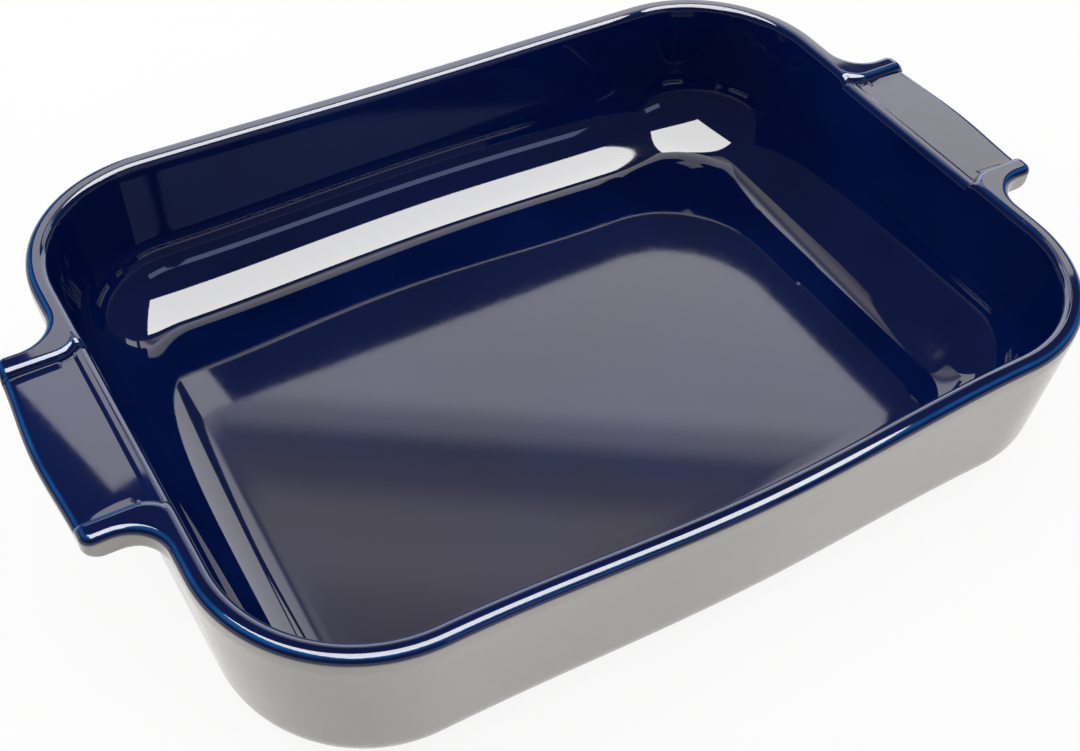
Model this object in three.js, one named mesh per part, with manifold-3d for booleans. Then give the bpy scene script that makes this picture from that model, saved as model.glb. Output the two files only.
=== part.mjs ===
// A rectangular stoneware baking dish with a plate handle at each end.
// Deep blue glaze covers the inside, the rim and the handle tops; pale grey glaze covers the outside.
// Millimetres, +Z up, X along the handles, origin on the table under the middle of the dish.
import * as THREE from "three";
import { mergeVertices } from "three/addons/utils/BufferGeometryUtils.js";
import Module from "manifold-3d";

const wasm = await Module();
wasm.setup();

// The rim, seen from above and from the side.
const RIM_LENGTH = 354; // between the outer faces of the two end walls
const RIM_BREADTH = 261; // over the long sides, where the corners begin
const SIDE_BOW = 3; // the long sides swell by this much at their middle
const CORNER_RADIUS = 59;
const HEIGHT = 70.8; // table to rim at the corners
const RIM_DIP = 3.1; // the rim sinks by this much at the middle of a long side
const RIM_THICKNESS = 7.8;
const RIM_INNER_ROUND = 2.8;
const RIM_OUTER_ROUND = 3;
const RIM_ROLL_HEIGHT = 9.5; // top of the rim roll to its lower edge
const RIM_ROLL_ROUND = 3; // rounding of that lower edge
const RIM_OVERHANG = 0.1; // the roll stands proud of the wall below it
const EDGE_SHARE = 0.4; // a rounding takes at most this share of a thin edge

// The walls and the floor.
const END_DRAFT = 7.6; // an end wall leans in by this much from the rim roll to the table
const SIDE_DRAFT = 5.3;
const BASE_ROUND = 16.5; // where the wall turns into the base
const INNER_END_DRAFT = 9; // the inner faces lean in by this much from rim to floor
const INNER_SIDE_DRAFT = 6.5;
const FLOOR_LEVEL = 9;
const FLOOR_FILLET = 28;

// The handles.
const HANDLE_REACH = 22.5; // outer face of the end wall to the tip of an ear
const PLATE_BULGE = 2; // the plate swells past the ears at its middle
const EARS_BREADTH = 91; // over the outer sides of a handle's two ears
const EAR_WIDTH = 9.3;
const EAR_TIP_RADIUS = 4.2;
const EAR_ROOT_RADIUS = 14; // hollow curve between the end wall and an ear
const EAR_TURN_RADIUS = 11; // curve of the rim's inner edge into the ear
const EAR_STEP_FOOT = 0.3; // the step from plate to ear begins this far off the ear's edge
const EAR_STEP_ROUND = 3; // and rounds over onto the ear by this far inside it
const PLATE_DROP = 3; // rim to the plate's inner lip
const PLATE_LIP = 2.2; // width of that lip
const PLATE_GROOVE = 0.3; // the plate lies this far below its lip
const PLATE_GROOVE_WIDTH = 0.8; // width over which it falls
const PLATE_RISE = 0.5; // the plate's outer edge over its inner side
const UNDERSIDE_COVE = 12; // height of the hollow curve from a handle's underside to the wall

// The foot, the glaze and the seams between the clay sections.
const FOOT_HEIGHT = 1.6; // table to the glazed base
const FOOT_WIDTH = 6;
const FOOT_INSET = 3; // from the end of the base rounding
const GLAZE = 0.6;
const GLAZE_SEAT = 0.25; // clearance between glaze and clay
const GLAZE_MEET = 0.3; // clearance between the two glazes
const GLAZE_TILT = 72; // they meet on the outer rounding, where it tilts this many degrees off level
const HANDLE_SEAM = 0.5; // the handles begin this far outside the end walls
const RIM_SEAM = 1.5; // the rim rolls end this far inside the ears

// How finely curves are divided.
const STEPS = { plate: 3, step: 3, tip: 2, side: 1, root: 4, wall: 1, corner: 5, long: 2 };
const MERGE_DISTANCE = 1e-4; // corners closer than this are one corner
const TOP_CROWDING = 1.5; // draws the rows of the handle tops towards the rim's inner edge
const EAR_CROWDING = 2; // draws an ear's stations on the wall towards the plate
const ROWS = { fillet: 3, innerRound: 2, top: 4, outerRound: 2, outerTurn: 1, underRound: 2, cove: 2, base: 3 };

const CENTRE_X = RIM_LENGTH / 2 - CORNER_RADIUS;
const CENTRE_Y = RIM_BREADTH / 2 - CORNER_RADIUS;
const EAR_OUTER = EARS_BREADTH / 2;
const EAR_INNER = EAR_OUTER - EAR_WIDTH;
const EAR_TIP_X = RIM_LENGTH / 2 + HANDLE_REACH;
const INNER_X = RIM_LENGTH / 2 - RIM_THICKNESS;
const LIP_X = INNER_X + RIM_INNER_ROUND;
const ROLL_LEVEL = HEIGHT - RIM_ROLL_HEIGHT;
const WALL_TOP = ROLL_LEVEL + RIM_ROLL_ROUND;

const smooth = (from, to, value) => THREE.MathUtils.smoothstep(value, from, to);
const along = (count, make) => Array.from({ length: count }, (_, k) => make((k + 1) / count));
const quarter = (share) => (share * Math.PI) / 2;

// One crest at the middle of a span, level at both of its ends.
const crest = (place, half) => Math.cos(quarter(Math.min(1, Math.abs(place) / half))) ** 2;

// Stations around a quarter of the dish, from the middle of a handle to the middle of a long side.
// Each gives its place on the wall (kind and share) and the outer edge there, with the way that edge faces.
function quarterStations() {
  const tipCentre = new THREE.Vector2(EAR_TIP_X - EAR_TIP_RADIUS, EAR_OUTER - EAR_TIP_RADIUS);
  const rootCentre = new THREE.Vector2(RIM_LENGTH / 2 + EAR_ROOT_RADIUS, EAR_OUTER + EAR_ROOT_RADIUS);
  const list = [];
  const plateEdge = (y) => {
    const x = EAR_TIP_X + PLATE_BULGE * crest(y, tipCentre.y);
    list.push({ kind: "end", y, edge: new THREE.Vector2(x, y), facing: new THREE.Vector2(1, 0) });
  };
  const stepFrom = EAR_INNER - EAR_STEP_FOOT;
  const stepTo = EAR_INNER + EAR_STEP_ROUND;
  plateEdge(0);
  along(STEPS.plate, (t) => plateEdge(stepFrom * t));
  along(STEPS.step, (t) => plateEdge(stepFrom + (stepTo - stepFrom) * t));

  const ear = [{ edge: new THREE.Vector2(EAR_TIP_X, tipCentre.y), facing: new THREE.Vector2(1, 0) }];
  along(STEPS.tip, (t) => {
    const facing = new THREE.Vector2(Math.cos(quarter(t)), Math.sin(quarter(t)));
    ear.push({ edge: facing.clone().multiplyScalar(EAR_TIP_RADIUS).add(tipCentre), facing });
  });
  along(STEPS.side, (t) => {
    const x = THREE.MathUtils.lerp(tipCentre.x, rootCentre.x, t);
    ear.push({ edge: new THREE.Vector2(x, EAR_OUTER), facing: new THREE.Vector2(0, 1) });
  });
  along(STEPS.root, (t) => {
    const facing = new THREE.Vector2(Math.sin(quarter(t)), Math.cos(quarter(t)));
    ear.push({ edge: facing.clone().multiplyScalar(-EAR_ROOT_RADIUS).add(rootCentre), facing });
  });
  // The wall behind the ear is shared out along the ear's edge, so that each section stays square to the rim.
  let run = 0;
  ear.forEach((station, k) => {
    run += k ? station.edge.distanceTo(ear[k - 1].edge) : 0;
    station.run = run;
  });
  ear.forEach((station) => {
    const y = THREE.MathUtils.lerp(tipCentre.y, rootCentre.y, (station.run / run) ** EAR_CROWDING);
    list.push({ kind: "end", y, edge: station.edge, facing: station.facing });
  });

  along(STEPS.wall, (t) => {
    const y = THREE.MathUtils.lerp(rootCentre.y, CENTRE_Y, t);
    list.push({ kind: "end", y, edge: new THREE.Vector2(RIM_LENGTH / 2, y), facing: new THREE.Vector2(1, 0) });
  });
  along(STEPS.corner, (t) => {
    const facing = new THREE.Vector2(Math.cos(quarter(t)), Math.sin(quarter(t)));
    const edge = new THREE.Vector2(CENTRE_X, CENTRE_Y).addScaledVector(facing, CORNER_RADIUS);
    list.push({ kind: "corner", facing, edge });
  });
  along(STEPS.long, (t) => {
    const x = CENTRE_X * (1 - t);
    const edge = new THREE.Vector2(x, RIM_BREADTH / 2 + SIDE_BOW * crest(x, CENTRE_X));
    list.push({ kind: "long", x, facing: new THREE.Vector2(0, 1), edge });
  });
  return list;
}

// The four quarters in one loop, anticlockwise from the right handle.
function loopStations() {
  const list = quarterStations();
  const ends = list.length - 1;
  const turned = list.slice(0, ends).reverse();
  const place = (stations, sx, sy) => stations.map((station) => ({ ...station, sx, sy }));
  return [
    ...place(list, 1, 1),
    ...place(turned, -1, 1),
    ...place(list.slice(1), -1, -1),
    ...place(turned.slice(0, -1), 1, -1),
  ];
}

// A place on the rounded rectangle that lies inside the rim's outline by endInset and sideInset.
function onWall(station, endInset, sideInset) {
  const radius = CORNER_RADIUS - (endInset + sideInset) / 2;
  const centreX = RIM_LENGTH / 2 - endInset - radius;
  const centreY = RIM_BREADTH / 2 - sideInset - radius;
  if (station.kind === "end") {
    return new THREE.Vector2(centreX + radius, (station.y / CENTRE_Y) * centreY);
  }
  if (station.kind === "corner") {
    return new THREE.Vector2(centreX, centreY).addScaledVector(station.facing, radius);
  }
  const bow = SIDE_BOW * crest(station.x, CENTRE_X);
  return new THREE.Vector2((station.x / CENTRE_X) * centreX, centreY + radius + bow);
}

function innerFace(station, level, inset) {
  const fall = (HEIGHT - level) / (HEIGHT - FLOOR_LEVEL);
  const end = RIM_THICKNESS + INNER_END_DRAFT * fall + inset;
  const side = RIM_THICKNESS + INNER_SIDE_DRAFT * fall + inset;
  return onWall(station, end, side);
}

function outerFace(station, level, inset) {
  const fall = (WALL_TOP - level) / WALL_TOP;
  return onWall(station, RIM_OVERHANG + END_DRAFT * fall + inset, RIM_OVERHANG + SIDE_DRAFT * fall + inset);
}

// Height of the rim and of the handle's top, from the plan position in the first quarter.
function topLevel(place) {
  const rim = HEIGHT - RIM_DIP * crest(place.x, CENTRE_X);
  const turnX = LIP_X - EAR_STEP_ROUND + EAR_TURN_RADIUS;
  const turnY = EAR_INNER + EAR_TURN_RADIUS;
  let depth = place.y - EAR_INNER;
  if (place.x < turnX) {
    depth = EAR_TURN_RADIUS - Math.hypot(place.x - turnX, Math.min(0, place.y - turnY));
    if (place.y > turnY) depth = EAR_STEP_ROUND;
  }
  const pastLip = place.x - LIP_X;
  const groove = PLATE_GROOVE * smooth(PLATE_LIP - PLATE_GROOVE_WIDTH, PLATE_LIP, pastLip);
  const rise = (PLATE_RISE * Math.max(0, pastLip)) / (EAR_TIP_X + PLATE_BULGE - LIP_X);
  const plate = HEIGHT - PLATE_DROP - groove + rise;
  const share = (depth + EAR_STEP_FOOT) / (EAR_STEP_ROUND + EAR_STEP_FOOT);
  return THREE.MathUtils.lerp(plate, rim, Math.sqrt(1 - (1 - THREE.MathUtils.clamp(share, 0, 1)) ** 2));
}

// The way a wall faces at a station, seen from above.
function wallFacing(station) {
  if (station.kind === "corner") return station.facing;
  return station.kind === "end" ? new THREE.Vector2(1, 0) : new THREE.Vector2(0, 1);
}

// The outer skin at one station, from the middle of the floor over the rim to the middle of the base.
// Each row is a point of the first quarter and its outward normal; blueEnd and greyEnd mark where each glaze stops.
function sectionAt(station) {
  const rows = [];
  const centre = new THREE.Vector2(0, 0);
  const wall = wallFacing(station);
  const put = (plan, level, facing, side, rise) => {
    const normal = new THREE.Vector3(facing.x * side, facing.y * side, rise).normalize();
    rows.push({ point: new THREE.Vector3(plan.x, plan.y, level), normal });
  };

  put(centre, FLOOR_LEVEL, wall, 0, 1);
  put(innerFace(station, FLOOR_LEVEL, FLOOR_FILLET), FLOOR_LEVEL, wall, 0, 1);
  along(ROWS.fillet, (t) => {
    const [sine, cosine] = [Math.sin(quarter(t)), Math.cos(quarter(t))];
    const level = FLOOR_LEVEL + FLOOR_FILLET * (1 - cosine);
    put(innerFace(station, level, FLOOR_FILLET * (1 - sine)), level, wall, -sine, cosine);
  });

  const lipLevel = topLevel(innerFace(station, HEIGHT, -RIM_INNER_ROUND));
  const wallTop = lipLevel - RIM_INNER_ROUND;
  put(innerFace(station, wallTop, 0), wallTop, wall, -1, 0);
  along(ROWS.innerRound, (t) => {
    const [sine, cosine] = [Math.sin(quarter(t)), Math.cos(quarter(t))];
    const level = wallTop + RIM_INNER_ROUND * sine;
    put(innerFace(station, level, -RIM_INNER_ROUND * (1 - cosine)), level, wall, -cosine, sine);
  });

  const insideEdge = (depth) => station.edge.clone().addScaledVector(station.facing, -depth);
  const edgeHeight = topLevel(insideEdge(RIM_OUTER_ROUND)) - ROLL_LEVEL;
  const drop = Math.min(RIM_OUTER_ROUND, edgeHeight * EDGE_SHARE);
  const underRound = Math.min(RIM_ROLL_ROUND, edgeHeight * EDGE_SHARE);
  const edgeFoot = ROLL_LEVEL + underRound;
  const lip = rows.at(-1).point;
  along(ROWS.top, (t) => {
    const plan = new THREE.Vector2(lip.x, lip.y).lerp(insideEdge(RIM_OUTER_ROUND), t ** TOP_CROWDING);
    put(plan, topLevel(plan), wall, 0, 1);
  });
  const crown = rows.at(-1).point.z;
  const turnOver = (tilt) => {
    const plan = insideEdge(RIM_OUTER_ROUND * (1 - Math.sin(tilt)));
    const level = crown - drop * (1 - Math.cos(tilt));
    put(plan, level, station.facing, drop * Math.sin(tilt), RIM_OUTER_ROUND * Math.cos(tilt));
  };
  const meet = GLAZE_MEET / RIM_OUTER_ROUND / 2;
  const blueTo = THREE.MathUtils.degToRad(GLAZE_TILT) - meet;
  const greyFrom = THREE.MathUtils.degToRad(GLAZE_TILT) + meet;
  along(ROWS.outerRound, (t) => turnOver(blueTo * t));
  const blueEnd = rows.length - 1;
  turnOver(greyFrom);
  along(ROWS.outerTurn, (t) => turnOver(THREE.MathUtils.lerp(greyFrom, quarter(1), t)));

  // Under the edge, the skin is given by how far it stands off the wall, from the edge in to the wall itself.
  const reach = station.edge.clone().sub(outerFace(station, edgeFoot, 0));
  const turn = Math.min(underRound, reach.length() / 2);
  const bed = reach.length() - turn;
  const profile = [new THREE.Vector2(reach.length(), edgeFoot)];
  along(ROWS.underRound, (t) => {
    const [sine, cosine] = [Math.sin(quarter(t)), Math.cos(quarter(t))];
    profile.push(new THREE.Vector2(bed + turn * cosine, edgeFoot - underRound * sine));
  });
  along(ROWS.cove, (t) => {
    const [sine, cosine] = [Math.sin(quarter(t)), Math.cos(quarter(t))];
    profile.push(new THREE.Vector2(bed * (1 - sine), ROLL_LEVEL - UNDERSIDE_COVE * (1 - cosine)));
  });
  const outward = reach.clone().normalize();
  profile.forEach((here, k) => {
    const plan = outerFace(station, here.y, 0).addScaledVector(outward, here.x);
    const share = k / (profile.length - 1);
    const facing = station.facing.clone().lerp(wall, share).normalize();
    const inside = k > 0 && share < 1;
    const run = inside ? profile[k + 1].clone().sub(profile[k - 1]) : new THREE.Vector2(0, -1);
    put(plan, here.y, facing, -run.y, run.x);
  });

  const baseTop = FOOT_HEIGHT + BASE_ROUND;
  put(outerFace(station, baseTop, 0), baseTop, wall, 1, 0);
  along(ROWS.base, (t) => {
    const [sine, cosine] = [Math.sin(quarter(t)), Math.cos(quarter(t))];
    const level = baseTop - BASE_ROUND * sine;
    put(outerFace(station, level, BASE_ROUND * (1 - cosine)), level, wall, cosine, -sine);
  });
  const greyEnd = rows.length - 1;
  put(centre, FOOT_HEIGHT, wall, 0, -1);
  return { rows, blueEnd, greyEnd };
}

// Triangles that join each row of points to the next one, all the way round.
// The first and last rows may be single points, repeated.
function facesBetween(rows) {
  const faces = [];
  const isPoint = (row) => row[0].distanceTo(row[1]) === 0;
  for (let j = 1; j < rows.length; j += 1) {
    const [here, next] = [rows[j - 1], rows[j]];
    here.forEach((point, i) => {
      const k = (i + 1) % here.length;
      if (!isPoint(next)) faces.push([point, next[i], next[k]]);
      if (!isPoint(here)) faces.push([point, next[k], here[k]]);
    });
  }
  return faces;
}

function geometryFromFaces(faces) {
  const geometry = new THREE.BufferGeometry().setFromPoints(faces.flat());
  return mergeVertices(geometry, MERGE_DISTANCE);
}

// The whole skin as rows around the dish.
function makeSkin() {
  const sections = loopStations().map((station) => {
    const section = sectionAt(station);
    const quadrant = new THREE.Vector3(station.sx, station.sy, 1);
    section.rows.forEach(({ point, normal }) => {
      point.multiply(quadrant);
      normal.multiply(quadrant);
    });
    return section;
  });
  const { blueEnd, greyEnd } = sections[0];
  const rows = sections[0].rows.map((_, j) => sections.map((section) => section.rows[j]));
  return { rows, blueEnd, greyEnd };
}

const skin = makeSkin();

// Rows of the skin, sunk below it by depth.
function sunkRows(first, last, depth) {
  const sink = ({ point, normal }) => point.clone().addScaledVector(normal, -depth);
  return skin.rows.slice(first, last + 1).map((row) => row.map(sink));
}

// A coat of glaze on the rows from first to last. Both of its faces are divided alike, so it is even.
function coat(first, last) {
  const outer = sunkRows(first, last, 0);
  const inner = sunkRows(first, last, GLAZE);
  const faces = [...facesBetween(outer), ...facesBetween(inner).map((face) => face.reverse())];
  if (first > 0) faces.push(...facesBetween([inner[0], outer[0]]));
  faces.push(...facesBetween([outer.at(-1), inner.at(-1)]));
  return geometryFromFaces(faces);
}

function solidFrom(geometry) {
  const bare = geometry.clone();
  bare.deleteAttribute("normal");
  bare.deleteAttribute("uv");
  const merged = mergeVertices(bare, MERGE_DISTANCE);
  const vertProperties = new Float32Array(merged.attributes.position.array);
  const triVerts = new Uint32Array(merged.index.array);
  return new wasm.Manifold(new wasm.Mesh({ numProp: 3, vertProperties, triVerts }));
}

function geometryFrom(solid) {
  const mesh = solid.getMesh();
  const geometry = new THREE.BufferGeometry();
  geometry.setAttribute("position", new THREE.BufferAttribute(mesh.vertProperties, 3));
  geometry.setIndex(new THREE.BufferAttribute(mesh.triVerts, 1));
  return geometry;
}

// A block between two corners, for cutting the clay body into its sections.
function block(low, high) {
  const size = new THREE.Vector3(...high).sub(new THREE.Vector3(...low));
  const geometry = new THREE.BoxGeometry(size.x, size.y, size.z);
  geometry.translate(low[0] + size.x / 2, low[1] + size.y / 2, low[2] + size.z / 2);
  return solidFrom(geometry);
}

// The base's outline at table height, drawn in by inset.
function baseOutline(outline, inset) {
  const end = RIM_OVERHANG + END_DRAFT + inset;
  const side = RIM_OVERHANG + SIDE_DRAFT + inset;
  const radius = CORNER_RADIUS - (end + side) / 2;
  const x = RIM_LENGTH / 2 - end - radius;
  const y = RIM_BREADTH / 2 - side - radius;
  outline.absarc(x, y, radius, 0, quarter(1));
  outline.absarc(-x, y, radius, quarter(1), quarter(2));
  outline.absarc(-x, -y, radius, quarter(2), quarter(3));
  outline.absarc(x, -y, radius, quarter(3), quarter(4));
  return outline;
}

// The foot ring follows the base, inside the end of its rounding.
function footRing() {
  const shape = baseOutline(new THREE.Shape(), BASE_ROUND + FOOT_INSET);
  shape.holes.push(baseOutline(new THREE.Path(), BASE_ROUND + FOOT_INSET + FOOT_WIDTH));
  const depth = FOOT_HEIGHT + GLAZE + GLAZE_SEAT;
  return new THREE.ExtrudeGeometry(shape, { depth, bevelEnabled: false, curveSegments: STEPS.corner });
}

const far = RIM_LENGTH + RIM_BREADTH;
const seamX = RIM_LENGTH / 2 + HANDLE_SEAM;
const seamY = EAR_INNER - RIM_SEAM;
const body = solidFrom(geometryFromFaces(facesBetween(sunkRows(0, skin.rows.length, GLAZE + GLAZE_SEAT))));
const core = body.intersect(block([-seamX, -far, -far], [seamX, far, far]));
const frontRim = block([-seamX, -far, ROLL_LEVEL], [seamX, -seamY, far]);
const backRim = block([-seamX, seamY, ROLL_LEVEL], [seamX, far, far]);

const clay = { color: 0xcfc2ae, roughness: 0.85, metalness: 0 };
const blueGlaze = { color: 0x0a1c4a, roughness: 0.06, metalness: 0 };
const greyGlaze = { color: 0xa5a19e, roughness: 0.15, metalness: 0 };

const dish = new THREE.Group();
dish.name = "baking_dish";

function add(name, geometry, finish) {
  const mesh = new THREE.Mesh(geometry, new THREE.MeshStandardMaterial(finish));
  mesh.name = name;
  dish.add(mesh);
}

add("basin", geometryFrom(core.subtract(frontRim).subtract(backRim)), clay);
add("rim_front", geometryFrom(core.intersect(frontRim)), clay);
add("rim_back", geometryFrom(core.intersect(backRim)), clay);
add("handle_left", geometryFrom(body.intersect(block([-far, -far, -far], [-seamX, far, far]))), clay);
add("handle_right", geometryFrom(body.intersect(block([seamX, -far, -far], [far, far, far]))), clay);
add("foot_ring", footRing(), clay);
add("glaze_inside", coat(0, skin.blueEnd), blueGlaze);
add("glaze_outside", coat(skin.blueEnd + 1, skin.greyEnd), greyGlaze);

export default dish;
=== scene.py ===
"""A glazed stoneware baking dish with a plate handle at each end, on a white studio floor.

The dish is one skin. It is worked out as sections around the outline, and each section runs from the
middle of the floor over the rim to the middle of the base. Two coats lie in the skin: the blue glaze, and
outside it a pale grey coat, which is a painted reflection of the bright white floor on the blue glaze. The
clay lies under them, cut into the pieces that the frame names.
"""
import math
from dataclasses import dataclass

import bmesh
import bpy
import numpy as np
from mathutils import Matrix, Vector


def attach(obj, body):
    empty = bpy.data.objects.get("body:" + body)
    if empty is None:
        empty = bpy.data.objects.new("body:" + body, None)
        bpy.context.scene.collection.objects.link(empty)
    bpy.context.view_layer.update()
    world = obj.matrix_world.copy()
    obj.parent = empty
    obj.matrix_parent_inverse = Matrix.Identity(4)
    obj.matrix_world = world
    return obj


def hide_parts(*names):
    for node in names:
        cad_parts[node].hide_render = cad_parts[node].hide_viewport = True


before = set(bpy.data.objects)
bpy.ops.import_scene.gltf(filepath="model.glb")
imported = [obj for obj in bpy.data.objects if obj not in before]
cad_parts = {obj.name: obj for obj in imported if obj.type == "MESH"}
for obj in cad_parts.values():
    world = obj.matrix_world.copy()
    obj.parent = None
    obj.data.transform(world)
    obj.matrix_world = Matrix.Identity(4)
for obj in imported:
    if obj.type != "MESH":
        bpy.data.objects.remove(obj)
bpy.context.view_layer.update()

MM = 0.001

# The rim, seen from above and from the side.
RIM_LENGTH = 354 * MM
RIM_BREADTH = 261 * MM
SIDE_BOW = 3 * MM
CORNER_RADIUS = 59 * MM
HEIGHT = 70.8 * MM
RIM_DIP = 3.1 * MM
RIM_THICKNESS = 7.8 * MM
RIM_INNER_ROUND = 2.8 * MM
RIM_OUTER_ROUND = 3 * MM
RIM_ROLL_HEIGHT = 9.5 * MM
RIM_ROLL_ROUND = 3 * MM
RIM_OVERHANG = 0.1 * MM

# The most of the edge's height that each of its two roundings takes.
EDGE_SHARE = 0.4

# The walls and the floor.
END_DRAFT = 7.6 * MM
SIDE_DRAFT = 5.3 * MM
BASE_ROUND = 16.5 * MM
INNER_END_DRAFT = 9 * MM
INNER_SIDE_DRAFT = 6.5 * MM
FLOOR_LEVEL = 9 * MM
FLOOR_FILLET = 28 * MM

# The handles.
HANDLE_REACH = 22.5 * MM
PLATE_BULGE = 2 * MM
EARS_BREADTH = 91 * MM
EAR_WIDTH = 9.3 * MM
EAR_TIP_RADIUS = 4.2 * MM
EAR_ROOT_RADIUS = 14 * MM
EAR_TURN_RADIUS = 11 * MM
EAR_STEP_FOOT = 0.3 * MM
EAR_STEP_ROUND = 3 * MM
EAR_CROWDING = 2
PLATE_DROP = 3 * MM
PLATE_LIP = 2.2 * MM
PLATE_GROOVE = 0.3 * MM
PLATE_GROOVE_WIDTH = 0.8 * MM
PLATE_RISE = 0.5 * MM
UNDERSIDE_COVE = 12 * MM

# The foot, the glaze and the seams between the clay sections.
FOOT_HEIGHT = 1.6 * MM
FOOT_WIDTH = 6 * MM
FOOT_INSET = 3 * MM
FOOT_ROUND = 0.8 * MM
GLAZE = 0.6 * MM
GLAZE_SEAT = 0.25 * MM
GLAZE_MEET = 0.02 * MM
GLAZE_TILT = math.radians(72)
HANDLE_SEAM = 0.5 * MM
RIM_SEAM = 1.5 * MM

# How finely curves are divided.
STEPS = {"plate": 18, "step": 24, "ear": 10, "tip": 16, "side": 5, "root": 18, "wall": 5, "corner": 28,
         "long": 30}
ROWS = {"floor": 24, "fillet": 28, "wall": 8, "inner_round": 10, "top": 44, "outer_round": 12,
        "outer_turn": 5, "edge": 3, "under_round": 8, "cove": 12, "outer_wall": 8, "base": 14, "bottom": 4}
TOP_CROWDING = 1.5
FOOT_STEPS = 6
CLAY_STRIDE = 2
SHARP_ANGLE = math.radians(50)

CENTRE = np.array([RIM_LENGTH / 2 - CORNER_RADIUS, RIM_BREADTH / 2 - CORNER_RADIUS])
EAR_OUTER = EARS_BREADTH / 2
EAR_INNER = EAR_OUTER - EAR_WIDTH
EAR_TIP_X = RIM_LENGTH / 2 + HANDLE_REACH
INNER_X = RIM_LENGTH / 2 - RIM_THICKNESS
LIP_X = INNER_X + RIM_INNER_ROUND
ROLL_LEVEL = HEIGHT - RIM_ROLL_HEIGHT
WALL_TOP = ROLL_LEVEL + RIM_ROLL_ROUND

# Paler blue shows over an edge where it tilts about this far off level, and less so over the inner edge.
# It is partly glaze running thinner and partly a painted highlight glow, laid where the highlights fall.
THIN_AND_HIGHLIGHT_TILT = math.radians(24)
THIN_AND_HIGHLIGHT_SPREAD = math.radians(20)
INNER_THIN_AND_HIGHLIGHT = 0.35


def smooth(low, high, value):
    """Rises from 0 at low to 1 at high, level at both."""
    share = np.clip((value - low) / (high - low), 0, 1)
    return share * share * (3 - 2 * share)


def steps(count):
    """Shares of a span, without its start and with its end."""
    return np.arange(1, count + 1) / count


def crest(place, half):
    """One crest at the middle of a span, level at both of its ends."""
    return np.cos(np.minimum(1, np.abs(place) / half) * np.pi / 2) ** 2


def turning(count):
    """Unit vectors that turn by a quarter, from along X to along Y."""
    angle = steps(count) * np.pi / 2
    return np.column_stack([np.cos(angle), np.sin(angle)])


@dataclass
class Stations:
    """Places around the dish. share, wall and bow give the wall there, and edge and facing the outer edge."""

    share: np.ndarray
    wall: np.ndarray
    bow: np.ndarray
    edge: np.ndarray
    facing: np.ndarray


def joined(parts):
    """One run of stations from several."""
    names = Stations.__dataclass_fields__
    return Stations(*[np.concatenate([getattr(part, name) for part in parts]) for name in names])


def end_stations(y, edge, facing):
    """Stations on an end wall, with the handle or without it. They face along X where facing is None."""
    y = np.asarray(y, float)
    along_x = np.tile([1.0, 0.0], (len(y), 1))
    share = np.column_stack([np.ones(len(y)), y / CENTRE[1]])
    return Stations(share, along_x, np.zeros(len(y)), edge, along_x if facing is None else facing)


def plate_stations():
    """Across half of the plate, up the step and on to the start of the ear's tip."""
    step_from = EAR_INNER - EAR_STEP_FOOT
    step_to = EAR_INNER + EAR_STEP_ROUND
    tip_y = EAR_OUTER - EAR_TIP_RADIUS
    y = np.concatenate([[0], step_from * steps(STEPS["plate"]),
                        step_from + (step_to - step_from) * steps(STEPS["step"]),
                        step_to + (tip_y - step_to) * steps(STEPS["ear"])[:-1]])
    x = EAR_TIP_X + PLATE_BULGE * crest(y, tip_y)
    return end_stations(y, np.column_stack([x, y]), None)


def ear_stations():
    """Round an ear's tip, along its side and down the hollow curve to the end wall."""
    tip_centre = np.array([EAR_TIP_X, EAR_OUTER]) - EAR_TIP_RADIUS
    root_centre = np.array([RIM_LENGTH / 2, EAR_OUTER]) + EAR_ROOT_RADIUS
    tip = np.vstack([[1, 0], turning(STEPS["tip"])])
    side_x = tip_centre[0] + (root_centre[0] - tip_centre[0]) * steps(STEPS["side"])
    side = np.column_stack([side_x, np.full(len(side_x), EAR_OUTER)])
    root = turning(STEPS["root"])[:, ::-1]
    edge = np.vstack([tip_centre + EAR_TIP_RADIUS * tip, side, root_centre - EAR_ROOT_RADIUS * root])
    facing = np.vstack([tip, np.tile([0, 1], (len(side), 1)), root])
    run = np.concatenate([[0], np.cumsum(np.linalg.norm(np.diff(edge, axis=0), axis=1))])
    y = tip_centre[1] + (root_centre[1] - tip_centre[1]) * (run / run[-1]) ** EAR_CROWDING
    return end_stations(y, edge, facing)


def plain_end_stations():
    """Along the end wall from the handle to the corner."""
    start = EAR_OUTER + EAR_ROOT_RADIUS
    y = start + (CENTRE[1] - start) * steps(STEPS["wall"])
    return end_stations(y, np.column_stack([np.full(len(y), RIM_LENGTH / 2), y]), None)


def corner_stations():
    wall = turning(STEPS["corner"])
    share = np.ones_like(wall)
    return Stations(share, wall, np.zeros(len(wall)), CENTRE + CORNER_RADIUS * wall, wall)


def long_stations():
    """Along the long side from the corner to the middle."""
    x = CENTRE[0] * (1 - steps(STEPS["long"]))
    wall = np.tile([0.0, 1.0], (len(x), 1))
    bow = SIDE_BOW * crest(x, CENTRE[0])
    edge = np.column_stack([x, RIM_BREADTH / 2 + bow])
    return Stations(np.column_stack([x / CENTRE[0], np.ones(len(x))]), wall, bow, edge, wall)


def on_wall(s, end_inset, side_inset):
    """Places on the rounded rectangle inside the rim's outline by end_inset and side_inset."""
    radius = CORNER_RADIUS - (end_inset + side_inset) / 2
    x = RIM_LENGTH / 2 - end_inset - radius
    y = RIM_BREADTH / 2 - side_inset - radius
    centre = np.column_stack(np.broadcast_arrays(x, y, s.bow)[:2])
    plan = s.share * centre + s.wall * np.reshape(radius, (-1, 1))
    plan[:, 1] += s.bow
    return plan


def inner_face(s, level, inset):
    """Places on the inner wall at a level, moved in by inset."""
    fall = (HEIGHT - level) / (HEIGHT - FLOOR_LEVEL)
    return on_wall(s, RIM_THICKNESS + INNER_END_DRAFT * fall + inset,
                   RIM_THICKNESS + INNER_SIDE_DRAFT * fall + inset)


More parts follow.
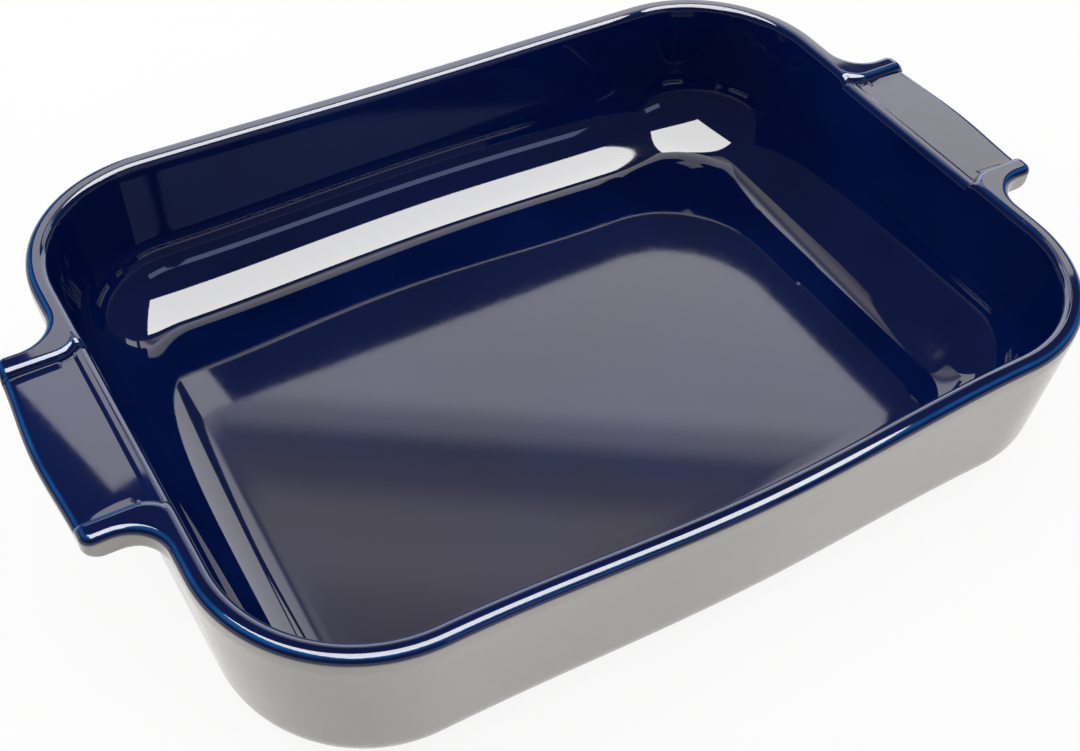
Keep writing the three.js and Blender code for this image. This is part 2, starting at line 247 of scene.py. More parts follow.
def outer_face(s, level, inset):
    """Places on the outer wall at a level, moved in by inset."""
    fall = (WALL_TOP - level) / WALL_TOP
    return on_wall(s, RIM_OVERHANG + END_DRAFT * fall + inset, RIM_OVERHANG + SIDE_DRAFT * fall + inset)


def step_depth(plan):
    """How far a place lies inside an ear's edge: below 0 on the plate, above 0 on the ear and on the rim."""
    turn_x = LIP_X - EAR_STEP_ROUND + EAR_TURN_RADIUS
    turn_y = EAR_INNER + EAR_TURN_RADIUS
    x, y = plan.T
    turned = EAR_TURN_RADIUS - np.hypot(x - turn_x, np.minimum(0, y - turn_y))
    turned = np.where(y > turn_y, EAR_STEP_ROUND, turned)
    return np.where(x < turn_x, turned, y - EAR_INNER)


def step_share(plan):
    """How far a place lies across the step's rounding, from 0 at its foot on the plate to 1 on the ear."""
    return np.clip((step_depth(plan) + EAR_STEP_FOOT) / (EAR_STEP_ROUND + EAR_STEP_FOOT), 0, 1)


def thinning_and_highlight(tilt):
    """Paleness of the blue over an edge, from its tilt off level: thinner glaze and painted highlight glow.
    """
    return smooth(0, 1, 1 - np.abs(tilt - THIN_AND_HIGHLIGHT_TILT) / THIN_AND_HIGHLIGHT_SPREAD)


def top_level(plan):
    """Height of the rim and of the handle's top."""
    rim = HEIGHT - RIM_DIP * crest(plan[:, 0], CENTRE[0])
    past_lip = plan[:, 0] - LIP_X
    groove = PLATE_GROOVE * smooth(PLATE_LIP - PLATE_GROOVE_WIDTH, PLATE_LIP, past_lip)
    rise = PLATE_RISE * np.maximum(0, past_lip) / (EAR_TIP_X + PLATE_BULGE - LIP_X)
    plate = HEIGHT - PLATE_DROP - groove + rise
    return plate + (rim - plate) * np.sqrt(1 - (1 - step_share(plan)) ** 2)


class Skin:
    """Points round a quarter of the dish in rows, with outward normals and paleness from thinner glaze and
    painted glow.
    """

    def __init__(self, stations):
        self.s = stations
        self.points = []
        self.normals = []
        self.thin_and_highlight = []
        self.marks = {}

    def put(self, plan, level, facing, side, rise, thin_and_highlight=0.0):
        """Adds a row. Its normals lean by side along facing and by rise upward."""
        count = len(self.s.bow)
        level, side, rise, thin_and_highlight = (np.broadcast_to(value, count) for value in (level, side, rise, thin_and_highlight))
        normal = np.column_stack([facing * side[:, None], rise])
        self.points.append(np.column_stack([plan, level]))
        self.normals.append(normal / np.linalg.norm(normal, axis=1, keepdims=True))
        self.thin_and_highlight.append(np.array(thin_and_highlight))

    def mark(self, name):
        """The row that comes next has this name."""
        self.marks[name] = len(self.points)

    def inside_edge(self, depth):
        """Places inside the outer edge by depth."""
        return self.s.edge - self.s.facing * np.reshape(depth, (-1, 1))


def quarter_arc(count):
    """(sine, cosine) pairs of a quarter turn, without its start."""
    return [(math.sin(share * math.pi / 2), math.cos(share * math.pi / 2)) for share in steps(count)]


def put_inside(skin):
    """The floor, the curve up from it and the inner wall, to the crown of the rim's inner rounding."""
    s = skin.s
    floor_edge = inner_face(s, FLOOR_LEVEL, FLOOR_FILLET)
    skin.put(0 * floor_edge, FLOOR_LEVEL, s.wall, 0, 1)
    for share in steps(ROWS["floor"]):
        skin.put(share * floor_edge, FLOOR_LEVEL, s.wall, 0, 1)
    for sine, cosine in quarter_arc(ROWS["fillet"]):
        level = FLOOR_LEVEL + FLOOR_FILLET * (1 - cosine)
        skin.put(inner_face(s, level, FLOOR_FILLET * (1 - sine)), level, s.wall, -sine, cosine)
    wall_foot = FLOOR_LEVEL + FLOOR_FILLET
    wall_top = top_level(inner_face(s, HEIGHT, -RIM_INNER_ROUND)) - RIM_INNER_ROUND
    for share in steps(ROWS["wall"]):
        level = wall_foot + (wall_top - wall_foot) * share
        skin.put(inner_face(s, level, 0), level, s.wall, -1, 0)
    # The inner rounding is paler blue too, less so: thinner glaze and a painted highlight glow.
    for sine, cosine in quarter_arc(ROWS["inner_round"]):
        level = wall_top + RIM_INNER_ROUND * sine
        plan = inner_face(s, level, -RIM_INNER_ROUND * (1 - cosine))
        skin.put(plan, level, s.wall, -cosine, sine, thin_and_highlight=INNER_THIN_AND_HIGHLIGHT * thinning_and_highlight(math.atan2(cosine, sine)))


def put_top(skin):
    """The tops of rim and handles, the outer rounding, where the blue meets the painted grey, and the upright
    edge.
    """
    s = skin.s
    height = top_level(skin.inside_edge(RIM_OUTER_ROUND)) - ROLL_LEVEL
    drop = np.minimum(RIM_OUTER_ROUND, height * EDGE_SHARE)
    lip = skin.points[-1][:, :2]
    # The ear's step is paler blue: thinner glaze and a painted highlight glow.
    for share in steps(ROWS["top"]):
        plan = lip + (skin.inside_edge(RIM_OUTER_ROUND) - lip) * share ** TOP_CROWDING
        skin.put(plan, top_level(plan), s.wall, 0, 1, thin_and_highlight=thinning_and_highlight(np.arcsin(1 - step_share(plan))))
    crown = skin.points[-1][:, 2]
    meet = GLAZE_MEET / RIM_OUTER_ROUND / 2
    blue = (GLAZE_TILT - meet) * steps(ROWS["outer_round"])
    grey_from = GLAZE_TILT + meet
    grey = grey_from + (math.pi / 2 - grey_from) * np.concatenate([[0], steps(ROWS["outer_turn"])])
    # The outer rounding is paler blue where the highlights fall: thinner glaze and a painted highlight glow.
    for tilt in [*blue, *grey]:
        if tilt == grey_from:
            skin.mark("grey")
        sine, cosine = math.sin(tilt), math.cos(tilt)
        plan = skin.inside_edge(RIM_OUTER_ROUND * (1 - sine))
        skin.put(plan, crown - drop * (1 - cosine), s.facing, drop * sine, RIM_OUTER_ROUND * cosine,
                 thin_and_highlight=thinning_and_highlight(tilt))
    under = np.minimum(RIM_ROLL_ROUND, height * EDGE_SHARE)
    edge_top = crown - drop
    edge_foot = ROLL_LEVEL + under
    for share in steps(ROWS["edge"]):
        skin.put(s.edge, edge_top + (edge_foot - edge_top) * share, s.facing, 1, 0)
    return under


def put_under_edge(skin, under):
    """Under the edge, the skin is given by how far it stands off the wall, from the edge in to the wall."""
    s = skin.s
    edge_foot = ROLL_LEVEL + under
    reach = s.edge - outer_face(s, edge_foot, 0)
    length = np.linalg.norm(reach, axis=1)
    outward = reach / length[:, None]
    turn = np.minimum(under, length / 2)
    bed = length - turn
    profile = [(length, edge_foot)]
    profile += [(bed + turn * cosine, edge_foot - under * sine)
                for sine, cosine in quarter_arc(ROWS["under_round"])]
    profile += [(bed * (1 - sine), np.full_like(bed, ROLL_LEVEL - UNDERSIDE_COVE * (1 - cosine)))
                for sine, cosine in quarter_arc(ROWS["cove"])]
    last = len(profile) - 1
    for k in range(1, len(profile)):
        off, level = profile[k]
        share = k / last
        facing = s.facing * (1 - share) + s.wall * share
        facing /= np.linalg.norm(facing, axis=1, keepdims=True)
        side, rise = 1, 0
        if k < last:
            side = profile[k - 1][1] - profile[k + 1][1]
            rise = profile[k + 1][0] - profile[k - 1][0]
        skin.put(outer_face(s, level, 0) + outward * off[:, None], level, facing, side, rise)


def put_outside(skin):
    """The outer wall, the rounding into the base and the base."""
    s = skin.s
    wall_top = skin.points[-1][:, 2]
    base_top = FOOT_HEIGHT + BASE_ROUND
    for share in steps(ROWS["outer_wall"]):
        level = wall_top + (base_top - wall_top) * share
        skin.put(outer_face(s, level, 0), level, s.wall, 1, 0)
    for sine, cosine in quarter_arc(ROWS["base"]):
        level = base_top - BASE_ROUND * sine
        skin.put(outer_face(s, level, BASE_ROUND * (1 - cosine)), level, s.wall, cosine, -sine)
    skin.mark("bare")
    base_edge = skin.points[-1][:, :2]
    for share in steps(ROWS["bottom"]):
        skin.put(base_edge * (1 - share), FOOT_HEIGHT, s.wall, 0, -1)


def mirrored(rows, signs):
    """Rows of the first quarter repeated in all four, anticlockwise from the right handle. Points and normals
    change their signs from quarter to quarter, and amounts don't."""
    forward = np.arange(rows.shape[1])
    turned = forward[-2::-1]
    order = [(forward, (1, 1)), (turned, (-1, 1)), (forward[1:], (-1, -1)), (turned[:-1], (1, -1))]
    parts = [rows[:, pick] * (np.array([sx, sy, 1]) if signs else 1) for pick, (sx, sy) in order]
    return np.concatenate(parts, axis=1)


def make_skin():
    """Points, normals and blue paleness of the whole skin, and the rows where the painted grey reflection and
    bare base begin.
    """
    skin = Skin(joined([plate_stations(), ear_stations(), plain_end_stations(), corner_stations(),
                        long_stations()]))
    put_inside(skin)
    put_under_edge(skin, put_top(skin))
    put_outside(skin)
    points = mirrored(np.array(skin.points), True)
    normals = mirrored(np.array(skin.normals), True)
    thin_and_highlight = mirrored(np.array(skin.thin_and_highlight), False)
    return points, normals, thin_and_highlight, skin.marks


def mesh_from_rings(name, rings, poles, values=None):
    """A closed mesh through rings of points. With poles, the first and last rings are single points,
    and otherwise the last ring joins the first. values is an attribute of the same shape, with its name."""
    count = rings.shape[1]
    ids = np.arange(rings.shape[0] * count).reshape(rings.shape[:2])
    if poles:
        ids[0] = ids[0, 0]
        ids[-1] = ids[-1, 0]
    else:
        ids = np.vstack([ids, ids[:1]])
    faces = []
    for here, after in zip(ids[:-1], ids[1:]):
        for i in range(count):
            corners = [here[i], after[i], after[(i + 1) % count], here[(i + 1) % count]]
            faces.append([int(c) for c in dict.fromkeys(corners)])
    mesh = bpy.data.meshes.new(name)
    mesh.from_pydata(rings.reshape(-1, 3).tolist(), [], faces)
    if values is not None:
        label, amounts = values
        attribute = mesh.attributes.new(label, "FLOAT", "POINT")
        attribute.data.foreach_set("value", np.asarray(amounts, np.float32).ravel())
    tidy(mesh)
    return mesh


def tidy(mesh):
    """Drops loose points, turns the faces outward and shades them smooth, apart from sharp edges."""
    bm = bmesh.new()
    bm.from_mesh(mesh)
    bmesh.ops.delete(bm, geom=[v for v in bm.verts if not v.link_faces], context="VERTS")
    bmesh.ops.recalc_face_normals(bm, faces=bm.faces)
    bm.to_mesh(mesh)
    bm.free()
    mesh.shade_smooth()
    mesh.set_sharp_from_angle(angle=SHARP_ANGLE)


def piece(name, mesh, material):
    """A piece of the dish that stands for the frame's node of the same name."""
    obj = bpy.data.objects.new(name + "_fine", mesh)
    bpy.context.scene.collection.objects.link(obj)
    mesh.materials.clear()
    mesh.materials.append(material)
    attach(obj, "root")
    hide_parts(name)


def cutter(low, high):
    """A block between two corners, for cutting the clay."""
    size = np.subtract(high, low)
    middle = np.add(high, low) / 2
    mesh = bpy.data.meshes.new("cutter")
    bm = bmesh.new()
    place = Matrix.Translation(middle.tolist()) @ Matrix.Diagonal([*size.tolist(), 1])
    bmesh.ops.create_cube(bm, matrix=place)
    bm.to_mesh(mesh)
    bm.free()
    obj = bpy.data.objects.new("cutter", mesh)
    bpy.context.scene.collection.objects.link(obj)
    return obj


def cut(mesh, *cuts):
    """A copy of a closed mesh after cuts, each an operation and the low and high corners of a block."""
    obj = bpy.data.objects.new("clay", mesh)
    bpy.context.scene.collection.objects.link(obj)
    blocks = []
    for operation, low, high in cuts:
        blocks.append(cutter(low, high))
        modifier = obj.modifiers.new("cut", "BOOLEAN")
        modifier.operation = operation
        modifier.solver = "MANIFOLD"
        modifier.object = blocks[-1]
    graph = bpy.context.evaluated_depsgraph_get()
    result = bpy.data.meshes.new_from_object(obj.evaluated_get(graph))
    for spare in [obj, *blocks]:
        bpy.data.objects.remove(spare)
    tidy(result)
    return result


def clay_meshes(body):
    """The clay body cut into the basin, the two rim rolls and the two handles."""
    far = RIM_LENGTH + RIM_BREADTH
    seam_x = RIM_LENGTH / 2 + HANDLE_SEAM
    seam_y = EAR_INNER - RIM_SEAM
    between = ("INTERSECT", (-seam_x, -far, -far), (seam_x, far, far))
    front = ((-far, -far, ROLL_LEVEL), (far, -seam_y, far))
    back = ((-far, seam_y, ROLL_LEVEL), (far, far, far))
    return {
        "basin": cut(body, between, ("DIFFERENCE", *front), ("DIFFERENCE", *back)),
        "rim_front": cut(body, between, ("INTERSECT", *front)),
        "rim_back": cut(body, between, ("INTERSECT", *back)),
        "handle_left": cut(body, ("INTERSECT", (-far, -far, -far), (-seam_x, far, far))),
        "handle_right": cut(body, ("INTERSECT", (seam_x, -far, -far), (far, far, far))),
    }


def foot_mesh():
    """The foot ring: a flat band with rounded lower edges, swept round the base."""
    y = CENTRE[1] * np.concatenate([[0], steps(STEPS["wall"])])
    ends = end_stations(y, np.zeros((len(y), 2)), None)
    s = joined([ends, corner_stations(), long_stations()])
    s.bow = np.zeros_like(s.bow)
    top = FOOT_HEIGHT + GLAZE + GLAZE_SEAT
    outer = BASE_ROUND + FOOT_INSET
    inner = outer + FOOT_WIDTH
    profile = [(outer, top), (outer, FOOT_ROUND)]
    arc = quarter_arc(FOOT_STEPS)
    profile += [(outer + FOOT_ROUND * (1 - cosine), FOOT_ROUND * (1 - sine)) for sine, cosine in arc]
    profile += [(inner - FOOT_ROUND * (1 - sine), FOOT_ROUND * (1 - cosine))
                for sine, cosine in [(0, 1), *arc]]
    profile += [(inner, top)]
    rows = []
    for inset, level in profile:
        plan = outer_face(s, 0, inset)
        rows.append(np.column_stack([plan, np.full(len(plan), level)]))
    return mesh_from_rings("foot_ring", mirrored(np.array(rows), True), poles=False)


class Graph:
    """A material's nodes."""

    def __init__(self, name):
        self.material = bpy.data.materials.new(name)
        self.material.use_nodes = True
        self.tree = self.material.node_tree
        self.tree.nodes.clear()
        self.output = self.node("OutputMaterial")

    def node(self, kind, _settings=None, **sockets):
        """A node, with its settings and its inputs by name. An input is a number, a colour or a socket."""
        node = self.tree.nodes.new("ShaderNode" + kind)
        for key, value in (_settings or {}).items():
            setattr(node, key, value)
        for key, value in sockets.items():
            self.set(node, key.replace("_", " "), value)
        return node

    def set(self, node, key, value):
        socket = node.inputs[int(key)] if key.isdigit() else node.inputs[key]
        if isinstance(value, bpy.types.NodeSocket):
            self.tree.links.new(value, socket)
        elif hasattr(value, "__len__") and socket.type == "RGBA":
            socket.default_value = (*value, 1)
        else:
            socket.default_value = value

    def noise(self, scale, detail, roughness=0.5):
        """Noise over the object's own space, where scale is about the patches per metre."""
        place = self.node("TexCoord").outputs["Object"]
        node = self.node("TexNoise", Vector=place, Scale=scale, Detail=detail, Roughness=roughness)
        return node.outputs["Fac"]

    def spread(self, value, low, high, to_low=0.0, to_high=1.0):
        """Maps low to high onto to_low to to_high, and holds it there."""
        node = self.node("MapRange", {"clamp": True}, Value=value)
        for key, amount in (("From Min", low), ("From Max", high), ("To Min", to_low), ("To Max", to_high)):
            node.inputs[key].default_value = amount
        return node.outputs["Result"]

    def math(self, operation, first, second):
        node = self.node("Math", {"operation": operation})
        self.set(node, "0", first)
        self.set(node, "1", second)
        return node.outputs["Value"]

    def mix(self, share, first, second):
        """A colour between two colours."""
        node = self.node("Mix", {"data_type": "RGBA"})
        self.set(node, "Factor", share)
        inputs = [socket for socket in node.inputs if socket.type == "RGBA"]
        for socket, value in zip(inputs, (first, second)):
            if isinstance(value, bpy.types.NodeSocket):
                self.tree.links.new(value, socket)
            else:
                socket.default_value = (*value, 1)
        return next(socket for socket in node.outputs if socket.type == "RGBA")

    def bump(self, height, depth):
        node = self.node("Bump", Height=height, Strength=1.0)
        node.inputs["Distance"].default_value = depth
        return node.outputs["Normal"]

    def show(self, shader):
        self.tree.links.new(shader, self.output.inputs["Surface"])
        return self.material


# Colours, as linear red, green and blue.
BLUE_DEEP = (0.0004, 0.0042, 0.04)
BLUE_MID = (0.0008, 0.0072, 0.062)
# Paler blue over edges, from thinner glaze and a painted highlight glow.
BLUE_THIN_AND_HIGHLIGHT = (0.006, 0.13, 0.46)
# Pale grey of the outside, in two tones mixed at random: a painted reflection of the bright white floor.
REFLECTION_GREY_LIGHT = (0.37, 0.355, 0.335)
REFLECTION_GREY_DARK = (0.345, 0.33, 0.31)
CLAY_LIGHT = (0.66, 0.58, 0.46)
CLAY_DARK = (0.5, 0.42, 0.32)
CLAY_FLECK = (0.2, 0.14, 0.09)

# Noises, each with its patches per metre, its detail and, for some, its roughness.
BLUE_CLOUDS = (14, 3)
THIN_AND_HIGHLIGHT_CLOUDS = (60, 2)
BLUE_POLISH = (220, 2)
BLUE_WAVES = (38, 2)
GREY_CLOUDS = (11, 4, 0.6)
GREY_FLECKS = (900, 1)
GREY_POLISH = (160, 3)
GREY_WAVES = (30, 2)
CLAY_CLOUDS = (24, 5, 0.6)
CLAY_FLECKS = (750, 1)
CLAY_POLISH = (300, 2)
CLAY_GRAIN = (1400, 3)

# The stretch of a noise that is spread over a change: most of it, its middle, or its peaks alone.
MOST = (0.3, 0.7)
MIDDLE = (0.35, 0.65)
GREY_PEAKS = (0.68, 0.74)
CLAY_PEAKS = (0.66, 0.72)

# The least and the most roughness of each surface, and its index of refraction.
BLUE_ROUGHNESS = (0.028, 0.042)
BLUE_IOR = 1.52
GREY_ROUGHNESS = (0.12, 0.18)
GREY_IOR = 1.5
CLAY_ROUGHNESS = (0.75, 0.92)
CLAY_IOR = 1.45

# The depths of waves and grain.
BLUE_WAVE_DEPTH = 0.006 * MM
GREY_WAVE_DEPTH = 0.03 * MM
CLAY_GRAIN_DEPTH = 0.12 * MM

# The least and the most of the paler blue that shows where an edge is palest, from thinner glaze and painted
# highlight glow, and how strongly flecks show.
THIN_AND_HIGHLIGHT_SHARE = (0.3, 0.7)
GREY_FLECK_SHARE = 0.25
CLAY_FLECK_SHARE = 0.8


def blue_glaze():
    """Deep blue gloss glaze, paler over an edge where it runs thinner and where a highlight glow is painted.
    """
    g = Graph("blue_glaze")
    body = g.mix(g.spread(g.noise(*BLUE_CLOUDS), *MIDDLE), BLUE_DEEP, BLUE_MID)
    thin_and_highlight = g.node("Attribute", {"attribute_name": "thin_and_highlight"}).outputs["Fac"]
    share = g.math("MULTIPLY", thin_and_highlight, g.spread(g.noise(*THIN_AND_HIGHLIGHT_CLOUDS), *MOST, *THIN_AND_HIGHLIGHT_SHARE))
    colour = g.mix(share, body, BLUE_THIN_AND_HIGHLIGHT)
    roughness = g.spread(g.noise(*BLUE_POLISH), *MOST, *BLUE_ROUGHNESS)
    shader = g.node("BsdfPrincipled", Base_Color=colour, Roughness=roughness, IOR=BLUE_IOR)
    g.set(shader, "Normal", g.bump(g.noise(*BLUE_WAVES), BLUE_WAVE_DEPTH))
    return g.show(shader.outputs["BSDF"])


def grey_glaze():
    """Pale warm grey gloss coat with faint flecks: a painted reflection of the white floor, fading to deep
    blue at its top.
    """
    g = Graph("grey_glaze")
    body = g.mix(g.spread(g.noise(*GREY_CLOUDS), *MIDDLE), REFLECTION_GREY_DARK, REFLECTION_GREY_LIGHT)
    fleck = g.spread(g.noise(*GREY_FLECKS), *GREY_PEAKS, 0, GREY_FLECK_SHARE)
    body = g.mix(fleck, body, CLAY_DARK)
    # Deep blue at the coat's upper edge: the painted floor reflection fades to a painted dark band.
    run = g.node("Attribute", {"attribute_name": "run"}).outputs["Fac"]
    colour = g.mix(run, body, BLUE_DEEP)
    roughness = g.spread(g.noise(*GREY_POLISH), *MOST, *GREY_ROUGHNESS)
    shader = g.node("BsdfPrincipled", Base_Color=colour, Roughness=roughness, IOR=GREY_IOR)
    g.set(shader, "Normal", g.bump(g.noise(*GREY_WAVES), GREY_WAVE_DEPTH))
    return g.show(shader.outputs["BSDF"])


def bare_clay():
    """Fired stoneware without glaze: warm, matt and grainy, with dark flecks."""
    g = Graph("bare_clay")
    body = g.mix(g.spread(g.noise(*CLAY_CLOUDS), *MIDDLE), CLAY_DARK, CLAY_LIGHT)
    fleck = g.spread(g.noise(*CLAY_FLECKS), *CLAY_PEAKS, 0, CLAY_FLECK_SHARE)
    colour = g.mix(fleck, body, CLAY_FLECK)
    roughness = g.spread(g.noise(*CLAY_POLISH), *MOST, *CLAY_ROUGHNESS)
    shader = g.node("BsdfPrincipled", Base_Color=colour, Roughness=roughness, IOR=CLAY_IOR)
    g.set(shader, "Normal", g.bump(g.noise(*CLAY_GRAIN), CLAY_GRAIN_DEPTH))
    return g.show(shader.outputs["BSDF"])


# How far the deep blue reaches down from the painted grey's upper edge as it fades: there the painted floor
# reflection gives way to a painted dark band under the rim's highlight.
DARK_BAND_HEIGHT = 1.2 * MM


def build_dish():
    """The eight pieces, each in place of the frame's node of the same name."""
    points, normals, thin_and_highlight, marks = make_skin()
    grey, bare = marks["grey"], marks["bare"]
    sunk = points - normals * GLAZE
    deep = points - normals * (GLAZE + GLAZE_SEAT)
    blue, pale, clay = blue_glaze(), grey_glaze(), bare_clay()

    rings = np.concatenate([points[:grey], sunk[grey - 1::-1]])
    amounts = np.concatenate([thin_and_highlight[:grey], thin_and_highlight[grey - 1::-1]])
    mesh = mesh_from_rings("glaze_inside", rings, poles=True, values=("thin_and_highlight", amounts))
    piece("glaze_inside", mesh, blue)

    # The outside's pale grey coat: a painted reflection of the white floor on the blue glaze.
    rings = np.concatenate([points[grey:bare], sunk[grey:bare][::-1]])
    # The painted dark band fades out below the grey's upper edge.
    below_line = points[grey, :, 2] - rings[:, :, 2]
    amounts = np.clip(1 - below_line / DARK_BAND_HEIGHT, 0, 1) ** 2
    mesh = mesh_from_rings("glaze_outside", rings, poles=False, values=("run", amounts))
    piece("glaze_outside", mesh, pale)

    body = mesh_from_rings("clay_body", deep[:, ::CLAY_STRIDE], poles=True)
    for name, mesh in clay_meshes(body).items():
        piece(name, mesh, clay)
    piece("foot_ring", foot_mesh(), clay)


# The camera, fitted to the dish's outline and its front rim in the photograph.
VIEW_AZIMUTH = math.radians(-33.71)
VIEW_ELEVATION = math.radians(45.97)
VIEW_ROLL = math.radians(3.8)
VIEW_DISTANCE = 613 * MM
VIEW_TARGET = Vector((-1.25, 6.43, 0)) * MM
LENS = 49.85
SENSOR = 36.0


def toward(azimuth, elevation):
    """A unit vector, from angles in radians. Azimuth 0 is along -Y, and a quarter turn is along +X."""
    level = math.cos(elevation)
    return Vector((math.sin(azimuth) * level, -math.cos(azimuth) * level, math.sin(elevation)))


def add_camera():
    back = toward(VIEW_AZIMUTH, VIEW_ELEVATION)
    turn = back.to_track_quat("Z", "Y") @ Matrix.Rotation(VIEW_ROLL, 3, "Z").to_quaternion()
    camera = bpy.data.objects.new("camera", bpy.data.cameras.new("camera"))
    camera.data.lens = LENS
    camera.data.sensor_width = SENSOR
    camera.matrix_world = Matrix.LocRotScale(VIEW_TARGET + back * VIEW_DISTANCE, turn, None)
    bpy.context.scene.collection.objects.link(camera)
    bpy.context.scene.camera = camera


FLOOR_RADIUS = 25.0
FLOOR_SEGMENTS = 96
FLOOR_COLOUR = (0.9, 0.895, 0.885)
FLOOR_PALE = (0.93, 0.93, 0.925)
FLOOR_CLOUDS = (3, 3)
FLOOR_GLOW = 0.88


def add_floor():
    """A white floor. The camera and mirrors see it mostly glow, so it is white and shadows stay faint."""
    g = Graph("floor")
    grain = g.mix(g.spread(g.noise(*FLOOR_CLOUDS), *MOST), FLOOR_COLOUR, FLOOR_PALE)
    matt = g.node("BsdfDiffuse", Color=grain).outputs["BSDF"]
    glow = g.node("Emission", Color=(1, 1, 1), Strength=1.0).outputs["Emission"]
    light_path = g.node("LightPath").outputs
    seen = g.math("MAXIMUM", light_path["Is Camera Ray"], light_path["Is Glossy Ray"])
    seen = g.math("MAXIMUM", seen, light_path["Is Transmission Ray"])
    shader = g.node("MixShader")
    g.set(shader, "Fac", g.math("MULTIPLY", seen, FLOOR_GLOW))
    g.tree.links.new(matt, shader.inputs[1])
    g.tree.links.new(glow, shader.inputs[2])
    mesh = bpy.data.meshes.new("floor")
    bm = bmesh.new()
    bmesh.ops.create_circle(bm, cap_ends=True, segments=FLOOR_SEGMENTS, radius=FLOOR_RADIUS)
    bm.to_mesh(mesh)
    bm.free()
    mesh.materials.append(g.show(shader.outputs["Shader"]))
    floor = bpy.data.objects.new("floor", mesh)
    bpy.context.scene.collection.objects.link(floor)


WORLD_SKY = 0.1
WORLD_HORIZON = 1.0
HORIZON_TOP = math.sin(math.radians(12))
WORLD_FILL = 0.38


def add_world():
    """A white horizon under a dim ceiling. Matt surfaces take an even fill from it instead."""
    world = bpy.data.worlds.new("studio")
    world.use_nodes = True
    tree = world.node_tree
    background = next(node for node in tree.nodes if node.type == "BACKGROUND")
    place = tree.nodes.new("ShaderNodeTexCoord")
    parts = tree.nodes.new("ShaderNodeSeparateXYZ")
    fade = tree.nodes.new("ShaderNodeMapRange")
    fade.interpolation_type = "SMOOTHSTEP"
    fade.inputs["From Min"].default_value = 0
    fade.inputs["From Max"].default_value = HORIZON_TOP
    fade.inputs["To Min"].default_value = WORLD_HORIZON
    fade.inputs["To Max"].default_value = WORLD_SKY
    light_path = tree.nodes.new("ShaderNodeLightPath")
    # Inputs 2 and 3 of this node are the two numbers that it mixes.
    pick = tree.nodes.new("ShaderNodeMix")
    tree.links.new(place.outputs["Generated"], parts.inputs["Vector"])
    tree.links.new(parts.outputs["Z"], fade.inputs["Value"])
    tree.links.new(light_path.outputs["Is Diffuse Ray"], pick.inputs["Factor"])
    tree.links.new(fade.outputs["Result"], pick.inputs[2])
    pick.inputs[3].default_value = WORLD_FILL
    tree.links.new(pick.outputs[0], background.inputs["Strength"])
    background.inputs["Color"].default_value = (1, 1, 1, 1)
    bpy.context.scene.world = world


@dataclass
class Panel:
    """A soft light, with the place of its middle, the way it faces, and its width and height in metres.
    radiance is how bright its face is, where 1 is white. Glossy surfaces mirror it where on_gloss is set, and
    matt ones are lit by it where on_matt is set. roll turns it about the way it faces, in degrees."""

    name: str
    place: tuple
    faces: tuple
    width: float
    height: float
    radiance: float
    colour: tuple = (1, 1, 1)
    on_gloss: bool = True
    on_matt: bool = True
    roll: float = 0


# The overhead box and the card are given for a ceiling one metre up, and scaled by its height.
CEILING = 1.3
DOWN = (0, 0, -1)
PANELS = [
    Panel("overhead_box", (0.13 * CEILING, 0, CEILING), DOWN, 0.98 * CEILING, 0.84 * CEILING, 16,
          (1.0, 0.995, 0.97), on_matt=False),
    Panel("back_panel", (1.25, 1.5, 0.885), (0, -1, 0), 2.2, 1.07, 3.2, (1.0, 0.98, 1.0), on_matt=False),
    Panel("side_panel", (1.615, 1.01, CEILING), DOWN, 0.67, 0.58, 3.4, (1.0, 0.98, 0.96), on_matt=False),
    Panel("left_panel", (0.115, 1.5, 1.41), (0, -1, 0), 0.25, 0.81, 3.2, (1.0, 0.98, 1.02), roll=20,
          on_matt=False),
    Panel("front_panel", (0.795, -2.03, 1.2), (-0.795, 2.03, -1.2), 0.75, 0.28, 1.8, (0.75, 0.92, 1.5),
          on_matt=False),
    Panel("fill_above", (-0.2, 0.3, 1.6), DOWN, 2.4, 2.4, 1.0, on_gloss=False),
    Panel("fill_left", (-1.3, 1.2, 0.6), (1.3, -1.2, -0.5), 1.0, 0.8, 6.5, on_gloss=False),
    Panel("fill_front", (1.4, -1.3, 0.8), (-1.4, 1.3, -0.7), 1.2, 0.8, 4.5, on_gloss=False),
]


def add_panels():
    for panel in PANELS:
        light = bpy.data.lights.new(panel.name, "AREA")
        light.shape = "RECTANGLE"
        light.size = panel.width
        light.size_y = panel.height
        light.color = panel.colour
        light.energy = panel.radiance * math.pi * panel.width * panel.height
        lamp = bpy.data.objects.new(panel.name, light)
        lamp.location = panel.place
        lamp.rotation_mode = "QUATERNION"
        roll = Matrix.Rotation(math.radians(panel.roll), 3, "Z").to_quaternion()
        lamp.rotation_quaternion = Vector(panel.faces).to_track_quat("-Z", "Y") @ roll
        lamp.visible_camera = False
        lamp.visible_glossy = panel.on_gloss
        lamp.visible_diffuse = panel.on_matt
        bpy.context.scene.collection.objects.link(lamp)


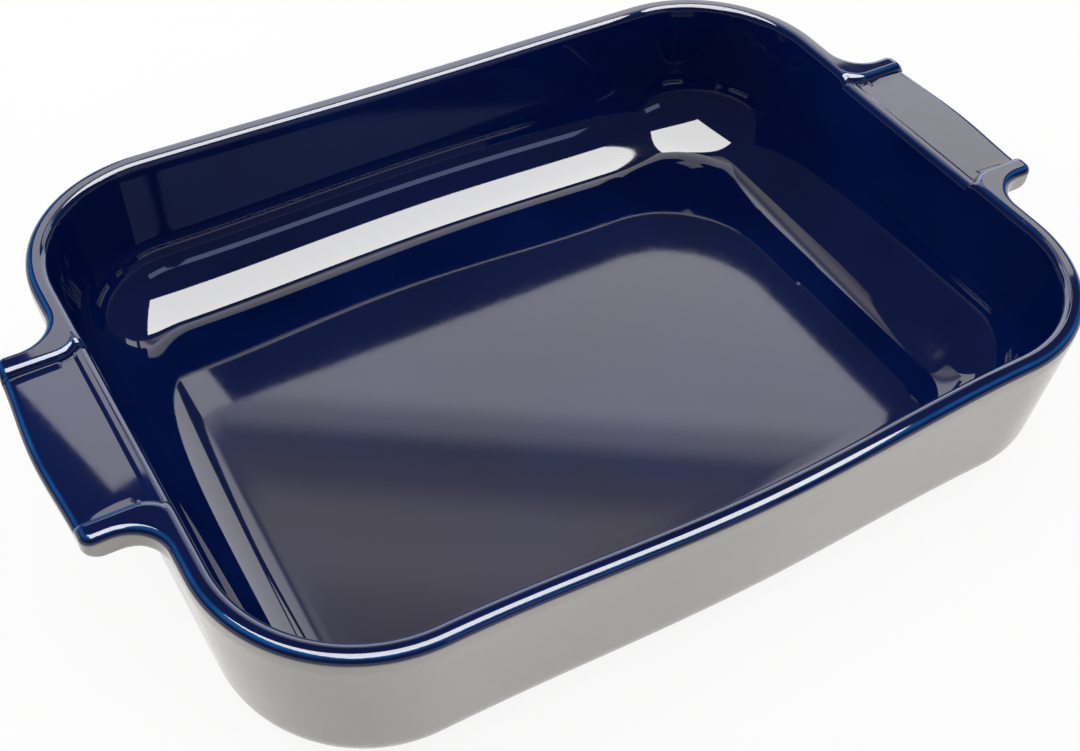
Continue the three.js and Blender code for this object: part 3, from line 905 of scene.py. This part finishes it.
# The card on the ceiling that the dish's floor mirrors: its edges, the turn of its tones and the tones
# themselves, each with how far out it lies.
CARD_LEFT, CARD_RIGHT = 0.1, 0.869
CARD_NEAR, CARD_FAR = 0.53, 0.935
CARD_ROUND = 0.14
CARD_TURN = math.radians(34)
CARD_TONES = [(0.5, (0, 0, 0)), (0.57, (1.15, 1.02, 0.85)), (0.66, (1.65, 1.5, 1.35)),
              (0.72, (1.55, 1.4, 1.25)), (0.785, (0.8, 0.74, 0.72)), (0.825, (0.65, 0.65, 0.7)),
              (0.865, (1.8, 1.75, 1.85)), (0.91, (3.0, 2.95, 3.1)), (1.3, (3.4, 3.3, 3.3))]
CARD_STEPS = 12


def card_material():
    """Bands of soft tone across the card."""
    g = Graph("card")
    turn = g.node("VectorRotate", {"rotation_type": "Z_AXIS"}, Vector=g.node("TexCoord").outputs["Object"])
    turn.inputs["Angle"].default_value = CARD_TURN
    out = g.node("SeparateXYZ", Vector=turn.outputs["Vector"]).outputs["Y"]
    first, last = CARD_TONES[0][0], CARD_TONES[-1][0]
    brightest = max(max(tone) for _, tone in CARD_TONES)
    ramp = g.node("ValToRGB", Fac=g.spread(out, first, last))
    ramp.color_ramp.interpolation = "EASE"
    while len(ramp.color_ramp.elements) < len(CARD_TONES):
        ramp.color_ramp.elements.new(1.0)
    for element, (start, tone) in zip(ramp.color_ramp.elements, CARD_TONES):
        element.position = (start - first) / (last - first)
        element.color = (*[part / brightest for part in tone], 1)
    glow = g.node("Emission", Color=ramp.outputs["Color"], Strength=brightest)
    return g.show(glow.outputs["Emission"])


def add_card():
    """A glowing card that the camera and matt surfaces don't see."""
    corner = [(CARD_RIGHT - CARD_ROUND * (1 - cosine), CARD_FAR - CARD_ROUND * (1 - sine))
              for sine, cosine in [(0, 1), *quarter_arc(CARD_STEPS)]]
    outline = [(CARD_LEFT, CARD_FAR), (CARD_LEFT, CARD_NEAR), (CARD_RIGHT, CARD_NEAR), *corner]
    mesh = bpy.data.meshes.new("card")
    mesh.from_pydata([(x, y, 0) for x, y in outline], [], [list(range(len(outline)))])
    mesh.materials.append(card_material())
    card = bpy.data.objects.new("card", mesh)
    card.location.z = CEILING
    card.scale = [CEILING] * 3
    card.visible_camera = False
    card.visible_diffuse = False
    card.visible_shadow = False
    bpy.context.scene.collection.objects.link(card)


build_dish()
add_camera()
add_floor()
add_world()
add_panels()
add_card()
bpy.context.scene.view_settings.view_transform = "Standard"
